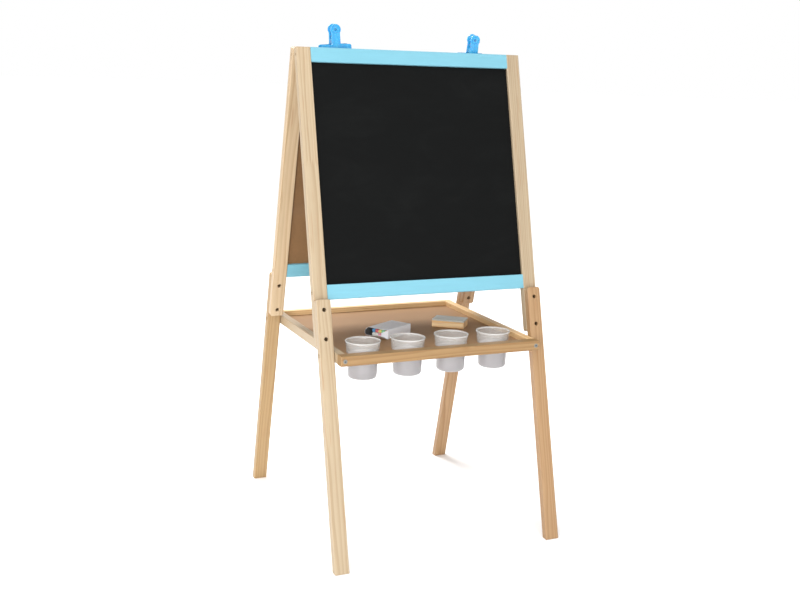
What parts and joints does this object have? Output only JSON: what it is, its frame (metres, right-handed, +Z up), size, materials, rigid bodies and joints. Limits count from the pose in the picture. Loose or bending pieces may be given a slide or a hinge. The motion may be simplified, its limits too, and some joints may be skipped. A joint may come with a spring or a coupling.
{
  "type": "kids easel",
  "caption": "Two-sided child's easel: hinged leaning frames with a chalkboard and a drawing board, a folding tray with hanging cups, board clips, chalk and an eraser.",
  "frame": {"origin": "on the floor, under the middle of the standing easel", "axes": "+X to the right and -Y towards someone facing the chalkboard, +Z up"},
  "size_m": [0.59, 0.6774, 1.2364],
  "materials": {
    "pine": "clear matt varnish",
    "tray_pine": "clear matt varnish",
    "blue_paint": "satin paint on wood",
    "chalkboard_paint": "matt chalkboard paint on hardboard",
    "drawing_panel": "white drawing surface on hardboard",
    "hardboard": "smooth hardboard",
    "steel": "zinc plated",
    "cup_plastic": "frosted",
    "clip_plastic": "satin moulded",
    "eraser_wood": "sanded",
    "felt": "wool felt",
    "card": "uncoated grey board",
    "chalk": "pressed chalk"
  },
  "bodies": {
    "front_frame": {"front_post_left": "pine", "front_leg_left": "pine", "front_post_right": "pine", "front_leg_right": "pine", "front_top_rail": "blue_paint", "front_bottom_rail": "blue_paint", "front_rail_screws": "steel", "front_leg_bolts": "steel", "front_leg_nuts": "steel", "front_hinge_leaves": "steel", "front_hinge_screws": "steel", "front_tray_bolts": "steel", "chalkboard": "chalkboard_paint", "hinge_pins": "steel"},
    "rear_frame": {"rear_post_left": "pine", "rear_leg_left": "pine", "rear_post_right": "pine", "rear_leg_right": "pine", "rear_top_rail": "blue_paint", "rear_bottom_rail": "blue_paint", "rear_rail_screws": "steel", "rear_leg_bolts": "steel", "rear_leg_nuts": "steel", "rear_hinge_leaves": "steel", "rear_hinge_screws": "steel", "rear_tray_bolts": "steel", "drawing_board": "drawing_panel"},
    "tray": {"tray_front_rail": "tray_pine", "tray_back_rail": "tray_pine", "tray_side_rail_left": "tray_pine", "tray_side_rail_right": "tray_pine", "tray_floor": "hardboard", "tray_cap_screws": "steel", "tray_inserts": "steel"},
    "cup_1": {"paint_cup_1": "cup_plastic"},
    "cup_2": {"paint_cup_2": "cup_plastic"},
    "cup_3": {"paint_cup_3": "cup_plastic"},
    "cup_4": {"paint_cup_4": "cup_plastic"},
    "clip_left": {"clip_left_front_half": "clip_plastic", "clip_left_pin": "steel", "clip_left_spring": "steel"},
    "clip_left_jaw": {"clip_left_rear_half": "clip_plastic"},
    "clip_right": {"clip_right_front_half": "clip_plastic", "clip_right_pin": "steel", "clip_right_spring": "steel"},
    "clip_right_jaw": {"clip_right_rear_half": "clip_plastic"},
    "eraser": {"eraser_block": "eraser_wood", "eraser_felt": "felt"},
    "box_of_chalk": {"chalk_box": "card", "held_chalks": "chalk"},
    "chalk_sticks": {"free_chalks": "chalk"}
  },
  "joints": [
    {"name": "frame_fold", "type": "hinge", "parent": "front_frame", "child": "rear_frame", "pos_m": [0, 0, 1.17334], "axis": [-1, 0, 0], "range_deg": [0, 28.4]},
    {"name": "tray_fold", "type": "hinge", "parent": "front_frame", "child": "tray", "pos_m": [0, -0.20709, 0.483], "axis": [-1, 0, 0], "range_deg": [0, 100]},
    {"name": "cup_1_lift", "type": "slide", "parent": "tray", "child": "cup_1", "axis": [0, 0, 1], "range_m": [0, 0.07]},
    {"name": "cup_2_lift", "type": "slide", "parent": "tray", "child": "cup_2", "axis": [0, 0, 1], "range_m": [0, 0.07]},
    {"name": "cup_3_lift", "type": "slide", "parent": "tray", "child": "cup_3", "axis": [0, 0, 1], "range_m": [0, 0.07]},
    {"name": "cup_4_lift", "type": "slide", "parent": "tray", "child": "cup_4", "axis": [0, 0, 1], "range_m": [0, 0.07]},
    {"name": "clip_left_lift", "type": "slide", "parent": "rear_frame", "child": "clip_left", "axis": [0, 0, 1], "range_m": [0, 0.045]},
    {"name": "clip_left_squeeze", "type": "hinge", "parent": "clip_left", "child": "clip_left_jaw", "pos_m": [-0.18842, 0.012, 1.19588], "axis": [0.9965, 0, 0.0837], "range_deg": [0, 10], "stiffness_Nm_per_rad": 0.3, "springref_deg": -28.65},
    {"name": "clip_right_lift", "type": "slide", "parent": "rear_frame", "child": "clip_right", "axis": [0, -0.1392, 0.9903], "range_m": [0, 0.045]},
    {"name": "clip_right_squeeze", "type": "hinge", "parent": "clip_right", "child": "clip_right_jaw", "pos_m": [0.179, 0.0105, 1.18666], "axis": [1, 0, 0], "range_deg": [0, 12], "stiffness_Nm_per_rad": 0.3, "springref_deg": -28.65},
    {"name": "eraser_lift", "type": "slide", "parent": "tray", "child": "eraser", "axis": [0, 0, 1], "range_m": [0, 0.1]},
    {"name": "chalk_box_lift", "type": "slide", "parent": "tray", "child": "box_of_chalk", "axis": [0, 0, 1], "range_m": [0, 0.1]},
    {"name": "chalk_draw", "type": "slide", "parent": "box_of_chalk", "child": "chalk_sticks", "axis": [-0.848, -0.5299, 0], "range_m": [0, 0.05]}
  ]
}
